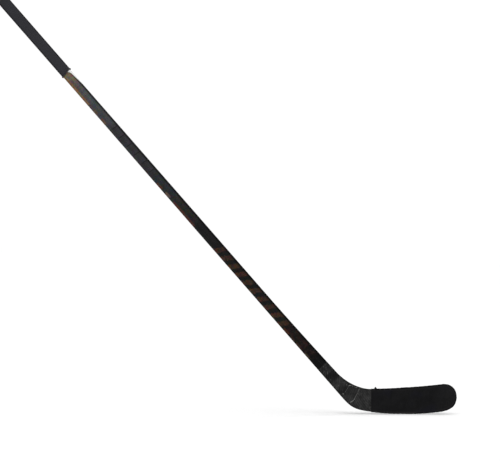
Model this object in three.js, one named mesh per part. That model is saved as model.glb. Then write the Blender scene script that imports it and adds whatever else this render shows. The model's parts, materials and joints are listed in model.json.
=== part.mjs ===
// A left-handed ice hockey stick in its playing position, in millimetres.
// +X runs along the blade to the toe and +Z is up. The shaft rises towards -X in the plane y = 0.
// The forehand face looks towards -Y. The origin is the lowest point of the blade's taped rocker.
import * as THREE from 'three';
import { mergeVertices } from 'three/addons/utils/BufferGeometryUtils.js';

// Driving dimensions.
const gap = 0.3; // between neighbouring pieces
const lieAngle = THREE.MathUtils.degToRad(48.91); // shaft to the ice
const axisFootX = -113.1; // where the shaft's axis meets the ice
const buttEnd = 1588; // distances along the shaft's axis are counted from its foot
const fuseLine = 178; // where the shaft tube meets the blade's neck
const neckEnd = 137.5; // where the throat and the heel start to turn

const shaftHalfWidth = 15.15;
const gripHalfWidth = 14.25; // the shaft under the grip
const slimStart = 700; // the shaft slims from here up to the grip
const flareStart = 420; // the front edge flares from here down to the neck
const neckFlare = 4.6;
const flarePower = 1.5;
const shaftThick = 20;
const taperStart = 460; // the shaft thins from here down to the neck
const fuseThick = 14.4;
const neckThick = 13.2;
const shaftCorner = 5;
const neckCorner = 4.2;
const shaftWall = 2;

const bladeThick = { heel: 7.6, mid: 6.4, toe: 5.2 };
const bladeCorner = 1.9;
const skinThick = 1.1;
const heelStartDistance = 75; // rear edge's last straight point
const bladeStartX = -92; // the taped part starts here
const soleHalf = 14; // half of the worn flat under the rocker
const rockerRadius = 620;
const frontX = { low: 96, high: 106 }; // where the two edges turn into the toe
const bladeHeight = { heel: 69.6, front: 82.8 };
const topPower = 1.8; // how the top edge rises towards the toe
const toeTip = new THREE.Vector2(145.1, 49);
const toeCurve = 13; // how far the toe bends towards the forehand
const curveStartX = -36;
const toeLoft = THREE.MathUtils.degToRad(4);
const loftHeight = 40; // the face twists about this height

// How far each rounded edge keeps the heading of its start and of its end.
const heelReach = [41, 42.5];
const throatReach = [37, 33];
const toeLowReach = [34, 25];
const toeHighReach = [25, 22];

const tapeThick = 1;
const tapeCover = gap + tapeThick; // the tape's outer surface above the bare blade

const gripStart = 1268.3;
const gripSlant = 4.5; // the sleeve's lower end sits askew, higher up along its front edge
const gripThick = 1.1;
const gripTop = 1583;
const beadLength = 4.4;
const beadHeight = 3.3;
const knobStart = 1544;
const knobEnd = 1586;
const knobBuild = 4.6;
const capHead = 2.7;
const capShank = 55;
const capRound = 0.8;
const leastCorner = 0.2; // the smallest corner radius of an inner surface

const tenonTop = 252;
const glueThick = 0.4;
const ribHeight = 2.4;
const ribPlace = 0.46; // height of the rib as a part of the blade's height

const up = new THREE.Vector2(-Math.cos(lieAngle), Math.sin(lieAngle)); // along the shaft
const ahead = new THREE.Vector2(Math.sin(lieAngle), Math.cos(lieAngle)); // across it, to the front

const clamp01 = (value) => THREE.MathUtils.clamp(value, 0, 1);
const { lerp } = THREE.MathUtils;

// Edges. An edge point is a place in the X-Z plane with the unit normal that points into the stick.
const edgePoint = (at, inward) => ({ at, inward: inward.clone().normalize() });
const lowEdge = (at, tangent) => edgePoint(at, new THREE.Vector2(-tangent.y, tangent.x));
const highEdge = (at, tangent) => edgePoint(at, new THREE.Vector2(tangent.y, -tangent.x));

function shaftPoint(distance, across) {
  return new THREE.Vector2(axisFootX, 0).addScaledVector(up, distance).addScaledVector(ahead, across);
}

function frontFlare(distance) {
  return neckFlare * clamp01((flareStart - distance) / (flareStart - neckEnd)) ** flarePower;
}

function shaftHalf(distance) {
  return lerp(shaftHalfWidth, gripHalfWidth, clamp01((distance - slimStart) / (gripStart - slimStart)));
}

// Stations. A station is one cut across the stick: its two edges, thickness and corner radius.
function shaftStation(distance) {
  const half = shaftHalf(distance);
  const taper = clamp01((taperStart - distance) / (taperStart - fuseLine));
  const neck = clamp01((fuseLine - distance) / (fuseLine - neckEnd));
  return {
    low: edgePoint(shaftPoint(distance, -half), ahead),
    high: edgePoint(shaftPoint(distance, half + frontFlare(distance)), ahead.clone().negate()),
    thick: lerp(lerp(shaftThick, fuseThick, taper), neckThick, neck),
    corner: lerp(shaftCorner, neckCorner, taper),
  };
}

function slantStation(distance) {
  return {
    ...shaftStation(distance),
    low: shaftStation(distance - gripSlant / 2).low,
    high: shaftStation(distance + gripSlant / 2).high,
  };
}

function rockerHeight(x) {
  return tapeCover + Math.max(Math.abs(x) - soleHalf, 0) ** 2 / (2 * rockerRadius);
}

const topPart = (x) => (x - bladeStartX) / (frontX.high - bladeStartX);

function topHeight(x) {
  return lerp(bladeHeight.heel, bladeHeight.front, topPart(x) ** topPower);
}

const frontSlope = {
  low: (frontX.low - soleHalf) / rockerRadius,
  high: (topPower * (bladeHeight.front - bladeHeight.heel)) / (frontX.high - bladeStartX),
};
const rearSlope = (bladeStartX + soleHalf) / rockerRadius;

// A Bezier curve that leaves "from" and reaches "to" along the given headings.
function blendCurve(from, leave, to, arrive, reach) {
  const first = from.clone().addScaledVector(leave.clone().normalize(), reach[0]);
  const second = to.clone().addScaledVector(arrive.clone().normalize(), -reach[1]);
  return new THREE.CubicBezierCurve(from, first, second, to);
}

const down = up.clone().negate();
const neckStation = shaftStation(neckEnd);
const flareSlope = (flarePower * neckFlare) / (flareStart - neckEnd);
const heelCurve = new THREE.CurvePath();
const heelStart = shaftPoint(heelStartDistance, -shaftHalfWidth);
heelCurve.add(new THREE.LineCurve(neckStation.low.at, heelStart));
heelCurve.add(blendCurve(
  heelStart, down,
  new THREE.Vector2(bladeStartX, rockerHeight(bladeStartX)), new THREE.Vector2(1, rearSlope), heelReach,
));
const throatCurve = blendCurve(
  neckStation.high.at, down.clone().addScaledVector(ahead, flareSlope),
  new THREE.Vector2(bladeStartX, bladeHeight.heel), new THREE.Vector2(1, 0), throatReach,
);
const toeLowCurve = blendCurve(
  new THREE.Vector2(frontX.low, rockerHeight(frontX.low)), new THREE.Vector2(1, frontSlope.low),
  toeTip, new THREE.Vector2(0, 1), toeLowReach,
);
const toeHighCurve = blendCurve(
  new THREE.Vector2(frontX.high, bladeHeight.front), new THREE.Vector2(1, frontSlope.high),
  toeTip, new THREE.Vector2(0, -1), toeHighReach,
);

function heelStation(part) {
  return {
    low: lowEdge(heelCurve.getPointAt(part), heelCurve.getTangentAt(part)),
    high: highEdge(throatCurve.getPointAt(part), throatCurve.getTangentAt(part)),
    thick: lerp(neckThick, bladeThick.heel, part),
    corner: lerp(neckCorner, bladeCorner, part),
  };
}

function bladeStation(x) {
  const highX = lerp(bladeStartX, frontX.high, (x - bladeStartX) / (frontX.low - bladeStartX));
  const lowSlope = (Math.sign(x) * Math.max(Math.abs(x) - soleHalf, 0)) / rockerRadius;
  const highSlope = frontSlope.high * topPart(highX) ** (topPower - 1);
  return {
    low: lowEdge(new THREE.Vector2(x, rockerHeight(x)), new THREE.Vector2(1, lowSlope)),
    high: highEdge(new THREE.Vector2(highX, topHeight(highX)), new THREE.Vector2(1, highSlope)),
    thick: lerp(bladeThick.heel, bladeThick.mid, topPart(highX)),
    corner: bladeCorner,
  };
}

// At the tip the two edges are one point, so every cut there collapses to a line.
function toeStation(part) {
  const tip = edgePoint(toeTip, new THREE.Vector2(-1, 0));
  return {
    low: part < 1 ? lowEdge(toeLowCurve.getPointAt(part), toeLowCurve.getTangentAt(part)) : tip,
    high: part < 1 ? highEdge(toeHighCurve.getPointAt(part), toeHighCurve.getTangentAt(part)) : tip,
    thick: lerp(bladeThick.mid, bladeThick.toe, part),
    corner: bladeCorner,
  };
}

const spread = (make, from, to, steps) => (
  Array.from({ length: steps + 1 }, (_, step) => make(lerp(from, to, step / steps)))
);

const neckStations = spread(shaftStation, fuseLine - gap, neckEnd, 2);
const heelStations = spread(heelStation, 0, 1, 12);
const bladeStations = [
  ...spread(bladeStation, bladeStartX, -soleHalf, 4),
  ...spread(bladeStation, soleHalf, frontX.low, 4),
];
const toeStations = spread(toeStation, 0, 1, 9);
const shaftBreaks = [fuseLine, 219, 262, 310, 360, flareStart, taperStart, slimStart, gripStart];

// The blade bends towards the forehand and opens a little along its length.
function faceShift(at) {
  const along = Math.max(at.x - curveStartX, 0) / (toeTip.x - curveStartX);
  return along ** 2 * ((at.y - loftHeight) * Math.tan(toeLoft) - toeCurve);
}

// One side of a cut, from the low edge to the high edge, "inset" below the bare surface.
const cornerSteps = 2;
const rungSteps = 4;

function sidePath(station, inset, side, cut = {}) {
  const { seam = 0, from = null, to = null } = cut;
  const half = station.thick / 2 - inset;
  const corner = Math.max(station.corner - inset, leastCorner);
  const path = [];
  const add = (at, height) => {
    path.push(new THREE.Vector3(at.x, faceShift(at) + side * height, at.y));
  };
  const inner = (edge, depth) => edge.at.clone().addScaledVector(edge.inward, depth);
  const round = (edge, steps) => {
    for (const step of steps) {
      const turn = (step / cornerSteps) * (Math.PI / 2);
      const height = half - corner + corner * Math.sin(turn);
      add(inner(edge, inset + corner * (1 - Math.cos(turn))), height);
    }
  };
  const steps = Array.from({ length: cornerSteps + 1 }, (_, step) => step);
  const low = inner(station.low, inset + corner);
  const high = inner(station.high, inset + corner);
  if (from === null) {
    add(inner(station.low, inset), seam);
    round(station.low, steps);
  }
  const start = from ?? 0;
  const end = to ?? 1;
  const first = from === null ? 1 : 0;
  const last = to === null ? rungSteps - 1 : rungSteps;
  for (let step = first; step <= last; step += 1) {
    add(low.clone().lerp(high, lerp(start, end, step / rungSteps)), half);
  }
  if (to === null) {
    round(station.high, steps.reverse());
    add(inner(station.high, inset), seam);
  }
  return path;
}

// A whole cut: up the forehand side and back down the other.
function fullLoop(station, inset, cut) {
  return [...sidePath(station, inset, -1, cut), ...sidePath(station, inset, 1, cut).reverse()];
}

// A half shell's cut: its outer side and its inner side.
function skinLoop(station, side) {
  const outer = sidePath(station, 0, side, { seam: gap / 2 });
  const inner = sidePath(station, skinThick, side, { seam: gap / 2 }).reverse();
  const loop = [...outer, ...inner];
  return side < 0 ? loop : loop.reverse();
}

// Triangles between cuts with the same number of points.
function wrap(triangles, loops) {
  for (let index = 1; index < loops.length; index += 1) {
    const here = loops[index - 1];
    const next = loops[index];
    for (let point = 0; point < here.length; point += 1) {
      const after = (point + 1) % here.length;
      triangles.push([here[point], here[after], next[after]], [here[point], next[after], next[point]]);
    }
  }
}

function fanCap(triangles, loop, flip) {
  const middle = loop.reduce((sum, point) => sum.add(point), new THREE.Vector3());
  middle.divideScalar(loop.length);
  loop.forEach((point, index) => {
    const after = loop[(index + 1) % loop.length];
    triangles.push(flip ? [middle, after, point] : [middle, point, after]);
  });
}

function ringCap(triangles, outer, inner, flip) {
  outer.forEach((point, index) => {
    const after = (index + 1) % outer.length;
    const face = [[point, outer[after], inner[after]], [point, inner[after], inner[index]]];
    triangles.push(...face.map((triangle) => (flip ? triangle.reverse() : triangle)));
  });
}

// The strip that closes a half shell's cut, between its outer and its inner side.
function stripCap(triangles, loop, flip) {
  const count = loop.length / 2;
  for (let index = 1; index < count; index += 1) {
    const opposite = loop.length - 1 - index;
    const face = [
      [loop[index - 1], loop[index], loop[opposite]],
      [loop[index - 1], loop[opposite], loop[opposite + 1]],
    ];
    triangles.push(...face.map((triangle) => (flip ? triangle.reverse() : triangle)));
  }
}

// Merges the shared points, drops the slivers of collapsed cuts and turns the faces outwards.
function closedGeometry(triangles) {
  const round = (value) => Math.round(value * 1e4) / 1e4;
  const positions = triangles.flat().flatMap((point) => [point.x, point.y, point.z].map(round));
  const loose = new THREE.BufferGeometry();
  loose.setAttribute('position', new THREE.Float32BufferAttribute(positions, 3));
  const merged = mergeVertices(loose, 1e-4);
  const kept = [];
  for (let corner = 0; corner < merged.index.count; corner += 3) {
    const [a, b, c] = [0, 1, 2].map((step) => merged.index.getX(corner + step));
    if (a !== b && b !== c && c !== a) kept.push([a, b, c]);
  }
  if (enclosedVolume(merged, kept) < 0) kept.forEach((triangle) => triangle.reverse());
  merged.setIndex(kept.flat());
  const flat = merged.toNonIndexed();
  flat.computeVertexNormals();
  return flat;
}

function enclosedVolume(geometry, triangles) {
  const [a, b, c] = [new THREE.Vector3(), new THREE.Vector3(), new THREE.Vector3()];
  let volume = 0;
  for (const triangle of triangles) {
    [a, b, c].forEach((point, index) => {
      point.fromBufferAttribute(geometry.attributes.position, triangle[index]);
    });
    volume += a.dot(b.cross(c)) / 6;
  }
  return volume;
}

function solidLoft(loops) {
  const triangles = [];
  wrap(triangles, loops);
  fanCap(triangles, loops[0], true);
  fanCap(triangles, loops.at(-1), false);
  return closedGeometry(triangles);
}

// A tube between two surfaces; a closed tip has both surfaces run to a point of their own.
function tubeLoft(outer, inner, closedTip = false) {
  const triangles = [];
  wrap(triangles, outer);
  wrap(triangles, inner.map((loop) => [...loop].reverse()));
  ringCap(triangles, outer[0], inner[0], true);
  if (!closedTip) ringCap(triangles, outer.at(-1), inner.at(-1), false);
  return closedGeometry(triangles);
}

function skinLoft(side) {
  const stations = [
    ...neckStations, ...heelStations.slice(1), ...bladeStations.slice(1), ...toeStations.slice(1),
  ];
  const loops = stations.map((station) => skinLoop(station, side));
  const triangles = [];
  wrap(triangles, loops);
  stripCap(triangles, loops[0], true);
  return closedGeometry(triangles);
}

// Pieces.
function shaftTube() {
  const stations = [...shaftBreaks, buttEnd - capHead - gap].map(shaftStation);
  return tubeLoft(
    stations.map((station) => fullLoop(station, 0)),
    stations.map((station) => fullLoop(station, shaftWall)),
  );
}

function gripSleeve() {
  const stations = [slantStation(gripStart), shaftStation(gripTop)];
  return tubeLoft(
    stations.map((station) => fullLoop(station, -gap - gripThick)),
    stations.map((station) => fullLoop(station, -gap)),
  );
}

// A ring around the shaft whose outside bulges between its two ends; it starts as thick as the gap.
function bulgedRing(stations, under, height, fullness) {
  const bulge = (part) => Math.sqrt(1 - Math.abs(2 * part - 1) ** fullness);
  const outset = (step) => under + gap + height * bulge(step / (stations.length - 1));
  return tubeLoft(
    stations.map((station, step) => fullLoop(station, -outset(step))),
    stations.map((station) => fullLoop(station, -under)),
  );
}

function gripEndBead() {
  const end = gripStart - gap;
  const stations = spread(slantStation, end - beadLength, end, 6);
  return bulgedRing(stations, gap, beadHeight - gap, 2);
}

function knobTape() {
  const stations = spread(shaftStation, knobStart, knobEnd, 8);
  return bulgedRing(stations, gap + gripThick + gap, knobBuild, 6);
}

function endCap() {
  const inside = shaftWall + gap;
  const seat = buttEnd - capHead;
  const profile = [
    [seat - capShank, inside + capRound],
    [seat - capShank + 2 * capRound, inside],
    [seat, inside],
    [seat, 0],
    [buttEnd - capRound, 0],
    [buttEnd, capRound],
  ];
  return solidLoft(profile.map(([distance, inset]) => fullLoop(shaftStation(distance), inset)));
}

const tenonInset = shaftWall + gap + glueThick + gap;
const coreInset = skinThick + gap;
const tenonHeelPart = 0.58; // how far round the heel the tenon reaches
const coreHeelPart = 0.6;
const toeCorePart = 0.7; // the cores stop short of the toe's tip

function hoselTenon() {
  const stations = [
    ...spread(shaftStation, tenonTop, fuseLine, 2),
    ...spread(shaftStation, fuseLine, neckEnd, 2).slice(1),
    ...spread(heelStation, 0, tenonHeelPart, 7).slice(1),
  ];
  return solidLoft(stations.map((station) => fullLoop(station, tenonInset)));
}

function fuseGlue() {
  const stations = spread(shaftStation, fuseLine + gap, tenonTop - gap, 2);
  return tubeLoft(
    stations.map((station) => fullLoop(station, shaftWall + gap)),
    stations.map((station) => fullLoop(station, shaftWall + gap + glueThick)),
  );
}

// Part of the blade's inside, between two heights given as parts of the blade's height.
function coreLoft(cutAt) {
  const stations = [
    ...spread(heelStation, coreHeelPart, 1, 5),
    ...bladeStations.slice(1),
    ...spread(toeStation, 0, toeCorePart, 6).slice(1),
  ];
  return solidLoft(stations.map((station) => {
    const height = station.low.at.distanceTo(station.high.at) - 2 * (coreInset + station.corner);
    return fullLoop(station, coreInset, cutAt(height));
  }));
}

const ribEdge = (height, side) => ribPlace + (side * ribHeight) / (2 * height);
const lowerCore = () => coreLoft((height) => ({ to: ribEdge(height, -1) - gap / height }));
const upperCore = () => coreLoft((height) => ({ from: ribEdge(height, 1) + gap / height }));
const bladeRib = () => coreLoft((height) => ({ from: ribEdge(height, -1), to: ribEdge(height, 1) }));

function bladeTape() {
  const stations = [...bladeStations, ...toeStations.slice(1)];
  return tubeLoft(
    stations.map((station) => fullLoop(station, -tapeCover)),
    stations.map((station) => fullLoop(station, -gap)),
    true,
  );
}

const group = new THREE.Group();

function addPiece(name, geometry, color, roughness, metalness = 0) {
  const material = new THREE.MeshStandardMaterial({ color, roughness, metalness });
  const mesh = new THREE.Mesh(geometry, material);
  mesh.name = name;
  group.add(mesh);
}

addPiece('shaft_tube', shaftTube(), 0x2e2b29, 0.4, 0.2);
addPiece('grip_sleeve', gripSleeve(), 0x313135, 0.85);
addPiece('grip_end_bead', gripEndBead(), 0x1a1a1c, 0.8);
addPiece('knob_tape', knobTape(), 0x1c1c1e, 0.95);
addPiece('end_cap', endCap(), 0x202022, 0.6);
addPiece('hosel_tenon', hoselTenon(), 0x2a2a2c, 0.5, 0.1);
addPiece('fuse_adhesive', fuseGlue(), 0x8c8058, 0.5);
addPiece('blade_forehand_skin', skinLoft(-1), 0x38383a, 0.45, 0.15);
addPiece('blade_backhand_skin', skinLoft(1), 0x38383a, 0.45, 0.15);
addPiece('blade_upper_core', upperCore(), 0xd8d2bc, 0.9);
addPiece('blade_lower_core', lowerCore(), 0xd8d2bc, 0.9);
addPiece('blade_rib', bladeRib(), 0x2a2a2c, 0.5, 0.1);
addPiece('blade_tape', bladeTape(), 0x18181a, 0.95);

export default group;
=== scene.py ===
# Left-handed ice hockey stick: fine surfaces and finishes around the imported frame.
# Everything is in metres. The shaft lies in the plane y = 0 and the forehand looks towards -Y.
import json
import math

import bmesh
import bpy
import numpy as np
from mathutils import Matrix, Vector, kdtree


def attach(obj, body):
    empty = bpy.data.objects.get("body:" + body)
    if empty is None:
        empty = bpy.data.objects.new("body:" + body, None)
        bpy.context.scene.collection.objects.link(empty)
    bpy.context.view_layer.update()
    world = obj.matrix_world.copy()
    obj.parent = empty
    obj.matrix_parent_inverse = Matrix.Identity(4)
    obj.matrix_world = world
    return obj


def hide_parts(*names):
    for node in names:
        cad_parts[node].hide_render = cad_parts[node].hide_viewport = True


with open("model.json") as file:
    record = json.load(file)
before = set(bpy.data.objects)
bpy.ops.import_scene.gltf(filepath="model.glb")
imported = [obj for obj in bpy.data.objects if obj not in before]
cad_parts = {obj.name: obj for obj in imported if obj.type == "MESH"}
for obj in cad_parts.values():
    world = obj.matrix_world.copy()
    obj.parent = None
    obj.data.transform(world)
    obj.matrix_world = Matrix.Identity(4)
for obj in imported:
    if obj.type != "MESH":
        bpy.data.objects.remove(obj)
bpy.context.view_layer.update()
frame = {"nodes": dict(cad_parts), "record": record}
print("frame loaded:", ", ".join(sorted(frame["nodes"])))

mounts = {mount["name"]: mount for mount in frame["record"]["mounts"]}
buttPoint = np.array(mounts["butt_end"]["pos_m"])[[0, 2]]
shaftUp = np.array(mounts["butt_end"]["axis"])[[0, 2]]
shaftAhead = np.array([shaftUp[1], -shaftUp[0]])
buttEnd = buttPoint[1] / shaftUp[1]  # distances along the shaft are counted from the ice
axisFoot = buttPoint - shaftUp * buttEnd
weldGap = 2e-6  # points closer than this are one point
leastCorner = 0.0002  # the roundness that is left on the sharpest inner corner
edgeSteps = {"neck": 60, "turn": 240, "blade": 500}  # points along the stretches of an edge

# the same rules as the stick's frame, distances up the shaft counted from the ice
shaftForm = {
    "halfWidth": 0.01515,
    "gripHalfWidth": 0.01425,
    "slimStart": 0.700,
    "gripStart": 1.2683,
    "flareStart": 0.420,
    "flare": 0.0046,
    "flarePower": 1.5,
    "thick": 0.020,
    "taperStart": 0.460,
    "fuseLine": 0.178,
    "fuseThick": 0.0144,
    "neckEnd": 0.1375,
    "neckThick": 0.0132,
    "corner": 0.005,
    "neckCorner": 0.0042,
    "wall": 0.002,
}
bladeForm = {
    "thick": [0.0132, 0.0076, 0.0064, 0.0052],  # neck, heel, front of the blade, toe
    "corner": [0.0042, 0.0019, 0.0019, 0.0019],
    "skin": 0.0011,
    "heelStart": 0.075,
    "startX": -0.092,
    "soleHalf": 0.014,
    "rocker": 0.620,
    "frontLow": 0.096,
    "frontHigh": 0.106,
    "heelHeight": 0.0696,
    "frontHeight": 0.0828,
    "topPower": 1.8,
    "toeTip": [0.1451, 0.049],
    "toeCurve": 0.013,
    "curveStart": -0.036,
    "loft": math.radians(4),
    "loftHeight": 0.040,
    "tapeCover": 0.0013,
    "heelReach": (0.041, 0.0425),
    "throatReach": (0.037, 0.033),
    "toeLowReach": (0.034, 0.025),
    "toeHighReach": (0.025, 0.022),
}


def unit(way):
    way = np.asarray(way, float)
    return way / np.linalg.norm(way, axis=-1, keepdims=True)


def shaftPoint(distance, across):
    distance, across = np.broadcast_arrays(distance, across)
    return axisFoot + distance[..., None] * shaftUp + across[..., None] * shaftAhead


def shaftHalf(distance):
    form = shaftForm
    slim = (distance - form["slimStart"]) / (form["gripStart"] - form["slimStart"])
    return form["halfWidth"] + np.clip(slim, 0, 1) * (form["gripHalfWidth"] - form["halfWidth"])


def frontFlare(distance):
    form = shaftForm
    part = (form["flareStart"] - distance) / (form["flareStart"] - form["neckEnd"])
    return form["flare"] * np.clip(part, 0, 1) ** form["flarePower"]


def rockerHeight(x):
    past = np.maximum(np.abs(x) - bladeForm["soleHalf"], 0)
    return bladeForm["tapeCover"] + past**2 / (2 * bladeForm["rocker"])


def topHeight(x):
    form = bladeForm
    part = (x - form["startX"]) / (form["frontHigh"] - form["startX"])
    rise = form["frontHeight"] - form["heelHeight"]
    return form["heelHeight"] + rise * np.clip(part, 0, 1) ** form["topPower"]


def blend(start, leave, end, arrive, reach):
    # points of a Bezier curve with given headings at both ends
    start, end = np.array(start, float), np.array(end, float)
    first = start + unit(leave) * reach[0]
    second = end - unit(arrive) * reach[1]
    t = np.linspace(0, 1, edgeSteps["turn"])[:, None]
    return (
        start * (1 - t) ** 3
        + first * 3 * t * (1 - t) ** 2
        + second * 3 * t**2 * (1 - t)
        + end * t**3
    )


class Edge:
    # a dense line along one edge of the stick, read back at parts of its length
    def __init__(self, *runs):
        points = np.concatenate([runs[0]] + [run[1:] for run in runs[1:]])
        steps = np.linalg.norm(np.diff(points, axis=0), axis=1)
        self.length = np.concatenate([[0], np.cumsum(steps)])
        self.points = points
        self.ways = unit(np.gradient(points, self.length, axis=0, edge_order=2))

    def at(self, part):
        where = np.clip(part, 0, 1) * self.length[-1]
        columns = [*self.points.T, *self.ways.T]
        x, z, wayX, wayZ = (np.interp(where, self.length, column) for column in columns)
        return np.stack([x, z], -1), unit(np.stack([wayX, wayZ], -1))


def heelEdges():
    form, blade = shaftForm, bladeForm
    neckLow = shaftPoint(form["neckEnd"], -shaftHalf(form["neckEnd"]))
    neckHigh = shaftPoint(form["neckEnd"], form["halfWidth"] + form["flare"])
    heelStart = shaftPoint(blade["heelStart"], -form["halfWidth"])
    line = neckLow + np.linspace(0, 1, edgeSteps["neck"])[:, None] * (heelStart - neckLow)
    endLow = [blade["startX"], rockerHeight(blade["startX"])]
    rearSlope = (blade["startX"] + blade["soleHalf"]) / blade["rocker"]
    turn = blend(heelStart, -shaftUp, endLow, [1, rearSlope], blade["heelReach"])
    slope = form["flarePower"] * form["flare"] / (form["flareStart"] - form["neckEnd"])
    endHigh = [blade["startX"], blade["heelHeight"]]
    throat = blend(neckHigh, -shaftUp + slope * shaftAhead, endHigh, [1, 0], blade["throatReach"])
    return Edge(line, turn), Edge(throat)


def bladeEdges():
    blade = bladeForm
    lowX = np.linspace(blade["startX"], blade["frontLow"], edgeSteps["blade"])
    highX = np.linspace(blade["startX"], blade["frontHigh"], edgeSteps["blade"])
    low = np.stack([lowX, rockerHeight(lowX)], -1)
    return Edge(low), Edge(np.stack([highX, topHeight(highX)], -1))


def toeEdges():
    blade = bladeForm
    lowSlope = (blade["frontLow"] - blade["soleHalf"]) / blade["rocker"]
    rise = blade["frontHeight"] - blade["heelHeight"]
    highSlope = blade["topPower"] * rise / (blade["frontHigh"] - blade["startX"])
    lowStart = [blade["frontLow"], rockerHeight(blade["frontLow"])]
    highStart = [blade["frontHigh"], blade["frontHeight"]]
    low = blend(lowStart, [1, lowSlope], blade["toeTip"], [0, 1], blade["toeLowReach"])
    high = blend(highStart, [1, highSlope], blade["toeTip"], [0, -1], blade["toeHighReach"])
    return Edge(low), Edge(high)


bladeRuns = [heelEdges(), bladeEdges(), toeEdges()]


def edgeAt(side, place):
    # place 0 to 1 is the heel, 1 to 2 the blade and 2 to 3 the toe
    place = np.asarray(place, float)
    run = np.clip(np.floor(place), 0, 2).astype(int)
    points = np.zeros(place.shape + (2,))
    ways = np.zeros(place.shape + (2,))
    for index, edges in enumerate(bladeRuns):
        here = run == index
        points[here], ways[here] = edges[side].at(place[here] - index)
    turned = np.stack([-ways[..., 1], ways[..., 0]], -1)
    inward = turned if side == 0 else -turned
    tip = place >= 3
    points[tip] = bladeForm["toeTip"]
    inward[tip] = [-1, 0]
    return points, inward


def bladeCuts(places):
    # a cut holds its two edge points, the ways in from them, its thickness and its corner
    low, lowIn = edgeAt(0, places)
    high, highIn = edgeAt(1, places)
    cuts = {"low": low, "lowIn": lowIn, "high": high, "highIn": highIn}
    for key in ("thick", "corner"):
        cuts[key] = np.interp(places, [0, 1, 2, 3], bladeForm[key])
    return cuts


def shaftCuts(distance, slant=0.0):
    # a slanted cut has its front edge higher up the shaft than its rear edge
    form = shaftForm
    distance, slant = np.broadcast_arrays(np.asarray(distance, float), slant)
    rear, front = distance - slant / 2, distance + slant / 2
    taperPlaces = [form["neckEnd"], form["fuseLine"], form["taperStart"]]
    ahead = np.broadcast_to(shaftAhead, distance.shape + (2,))
    return {
        "low": shaftPoint(rear, -shaftHalf(rear)),
        "lowIn": ahead,
        "high": shaftPoint(front, shaftHalf(front) + frontFlare(front)),
        "highIn": -ahead,
        "thick": np.interp(distance, taperPlaces, [form["neckThick"], form["fuseThick"], form["thick"]]),
        "corner": np.interp(distance, taperPlaces[1:], [form["neckCorner"], form["corner"]]),
    }


def joinCuts(*groups):
    return {key: np.concatenate([group[key] for group in groups]) for key in groups[0]}


def faceShift(place):
    form = bladeForm
    along = np.maximum(place[..., 0] - form["curveStart"], 0) / (form["toeTip"][0] - form["curveStart"])
    return along**2 * ((place[..., 1] - form["loftHeight"]) * math.tan(form["loft"]) - form["toeCurve"])


def sideRows(cuts, inset, side, cornerSteps=6, rungSteps=16):
    # rows of points from the low edge to the high edge on one side, "inset" below the bare surface
    inset = np.broadcast_to(inset, cuts["thick"].shape)
    half = cuts["thick"] / 2 - inset
    corner = np.maximum(cuts["corner"] - inset, leastCorner)
    rows = []

    def add(place, height):
        rows.append(np.stack([place[:, 0], faceShift(place) + side * height, place[:, 1]], -1))

    def inner(edge, depth):
        return cuts[edge] + cuts[edge + "In"] * depth[:, None]

    def turnCorner(edge, turns):
        for turn in turns:
            depth = inset + corner * (1 - math.cos(turn))
            add(inner(edge, depth), half - corner + corner * math.sin(turn))

    turns = np.linspace(0, math.pi / 2, cornerSteps + 1)
    low, high = inner("low", inset + corner), inner("high", inset + corner)
    add(inner("low", inset), half * 0)
    add(inner("low", inset), (half - corner) / 2)
    turnCorner("low", turns)
    for step in np.arange(1, rungSteps) / rungSteps:
        add(low + (high - low) * step, half)
    turnCorner("high", turns[::-1])
    add(inner("high", inset), (half - corner) / 2)
    add(inner("high", inset), half * 0)
    return np.stack(rows, 1)


def cutLengths(rings):
    # distance along the stick of every cut, from the middle of its cut
    steps = np.linalg.norm(np.diff(rings.mean(1), axis=0), axis=1)
    return np.concatenate([[0], np.cumsum(steps)])


def edgeDepths(cuts, rings):
    # how far every point lies inside the stick's two edges, seen on its wide face
    depths = []
    for edge in ("low", "high"):
        offsets = rings[..., [0, 2]] - cuts[edge][:, None]
        depths.append((offsets * cuts[edge + "In"][:, None]).sum(-1))
    return depths


def addPiece(name, data):
    piece = bpy.data.objects.new(name, data)
    bpy.context.scene.collection.objects.link(piece)
    return piece


def addMark(mesh, name, values):
    data = mesh.attributes.new(name, "FLOAT", "POINT").data
    data.foreach_set("value", values.astype(np.float32).reshape(-1))


def meshFrom(name, points, faces, maps=None, marks=None, smoothAngle=35):
    # maps hold a pair of coordinates for every point and marks a single value
    mesh = bpy.data.meshes.new(name)
    mesh.from_pydata(points.reshape(-1, 3).tolist(), [], faces)
    corners = np.zeros(len(mesh.loops), np.int64)
    mesh.loops.foreach_get("vertex_index", corners)
    for label, pair in (maps or {}).items():
        pair = np.stack([np.broadcast_to(values, points.shape[:-1]).reshape(-1) for values in pair], -1)
        mesh.uv_layers.new(name=label).data.foreach_set("uv", pair[corners].astype(np.float32).reshape(-1))
    for label, values in (marks or {}).items():
        addMark(mesh, label, np.broadcast_to(values, points.shape[:-1]))
    tidy = bmesh.new()
    tidy.from_mesh(mesh)
    bmesh.ops.remove_doubles(tidy, verts=tidy.verts, dist=weldGap)
    bmesh.ops.dissolve_degenerate(tidy, edges=tidy.edges, dist=weldGap / 10)
    bmesh.ops.recalc_face_normals(tidy, faces=tidy.faces)
    tidy.to_mesh(mesh)
    tidy.free()
    mesh.shade_smooth()
    mesh.set_sharp_from_angle(angle=math.radians(smoothAngle))
    print("made", name, "with", len(mesh.polygons), "faces")
    return addPiece(name, mesh)


def ringAround(rows):
    # metres round a cut from its low edge
    steps = np.linalg.norm(np.diff(rows, axis=1), axis=2)
    return np.concatenate([np.zeros((len(rows), 1)), np.cumsum(steps, axis=1)], axis=1)


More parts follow.
